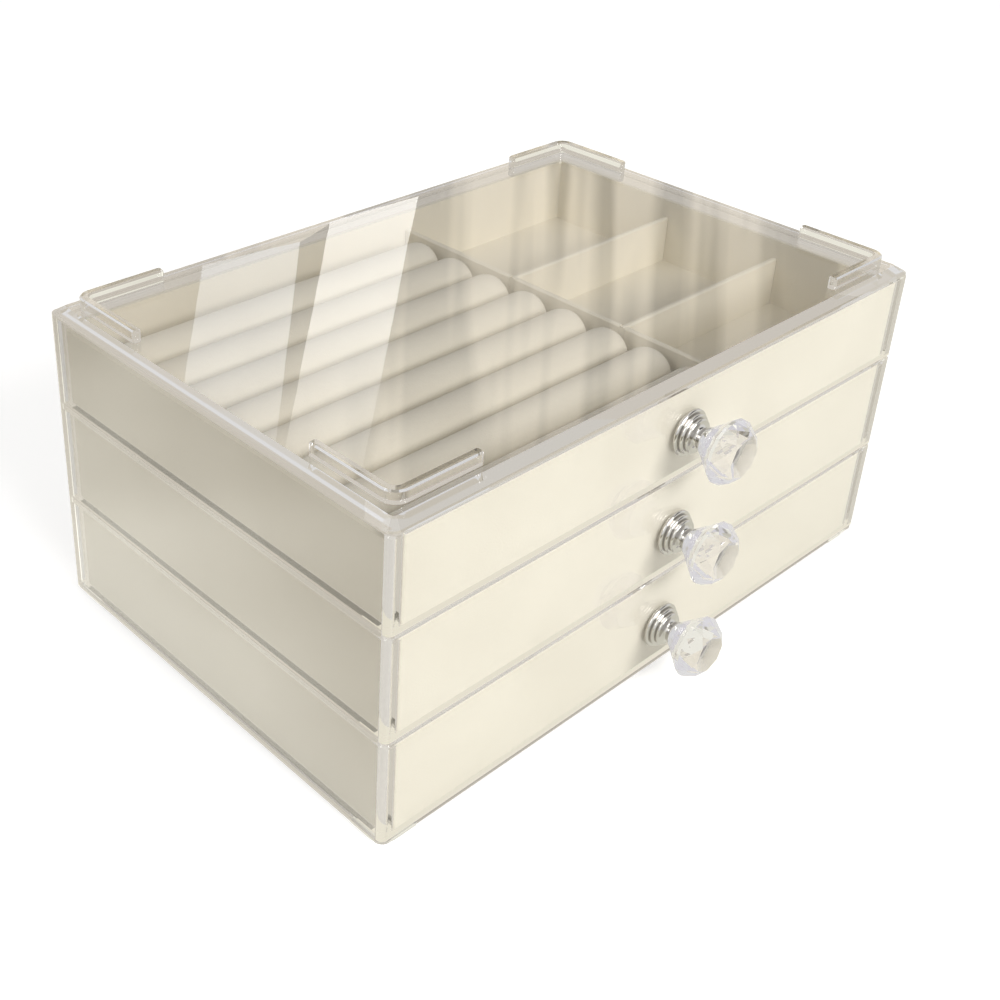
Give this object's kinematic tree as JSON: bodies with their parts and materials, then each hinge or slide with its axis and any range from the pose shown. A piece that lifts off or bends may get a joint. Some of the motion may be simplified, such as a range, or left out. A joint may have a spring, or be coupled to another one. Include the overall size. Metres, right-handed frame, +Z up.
{
  "type": "jewellery box with drawers",
  "caption": "Clear rectangular jewellery box with three sliding drawers lined in pale velvet, ring rolls, divided trays, cut crystal knobs and stacking ribs on the lid.",
  "frame": {"origin": "centre of the rectangle of the case walls, in the plane that the four corner feet stand on", "axes": "+X to the right seen from the front, +Y to the rear, +Z up; the drawers open towards -Y"},
  "size_m": [0.235, 0.1746, 0.1112],
  "materials": {
    "clear_case": "clear, polished",
    "clear_drawer": "clear, polished",
    "velvet": "short-pile velvet",
    "roll_velvet": "short-pile velvet over foam",
    "crystal": "cut and polished",
    "knob_metal": "polished plate",
    "screw_steel": "zinc plated"
  },
  "bodies": {
    "case": {"base_panel": "clear_case", "case_shell": "clear_case", "lower_shelf": "clear_case", "upper_shelf": "clear_case", "top_cover": "clear_case"},
    "lower_sliding_drawer": {"lower_drawer": "clear_drawer", "lower_tray": "velvet", "lower_long_divider": "velvet", "lower_left_divider": "velvet", "lower_right_divider": "velvet", "lower_knob_base": "knob_metal", "lower_knob_crystal": "crystal", "lower_knob_screw": "screw_steel"},
    "middle_sliding_drawer": {"middle_drawer": "clear_drawer", "middle_tray": "velvet", "middle_row_divider_1": "velvet", "middle_row_divider_2": "velvet", "middle_row_divider_3": "velvet", "middle_column_divider_1": "velvet", "middle_column_divider_2": "velvet", "middle_column_divider_3": "velvet", "middle_column_divider_4": "velvet", "middle_column_divider_5": "velvet", "middle_knob_base": "knob_metal", "middle_knob_crystal": "crystal", "middle_knob_screw": "screw_steel"},
    "upper_sliding_drawer": {"upper_drawer": "clear_drawer", "upper_tray": "velvet", "ring_roll_1": "roll_velvet", "ring_roll_2": "roll_velvet", "ring_roll_3": "roll_velvet", "ring_roll_4": "roll_velvet", "ring_roll_5": "roll_velvet", "ring_roll_6": "roll_velvet", "ring_roll_7": "roll_velvet", "ring_roll_8": "roll_velvet", "upper_partition": "velvet", "upper_front_divider": "velvet", "upper_rear_divider": "velvet", "upper_knob_base": "knob_metal", "upper_knob_crystal": "crystal", "upper_knob_screw": "screw_steel"}
  },
  "joints": [
    {"name": "lower_drawer_slide", "type": "slide", "parent": "case", "child": "lower_sliding_drawer", "axis": [0, -1, 0], "range_m": [0, 0.13]},
    {"name": "middle_drawer_slide", "type": "slide", "parent": "case", "child": "middle_sliding_drawer", "axis": [0, -1, 0], "range_m": [0, 0.13]},
    {"name": "upper_drawer_slide", "type": "slide", "parent": "case", "child": "upper_sliding_drawer", "axis": [0, -1, 0], "range_m": [0, 0.13]}
  ]
}
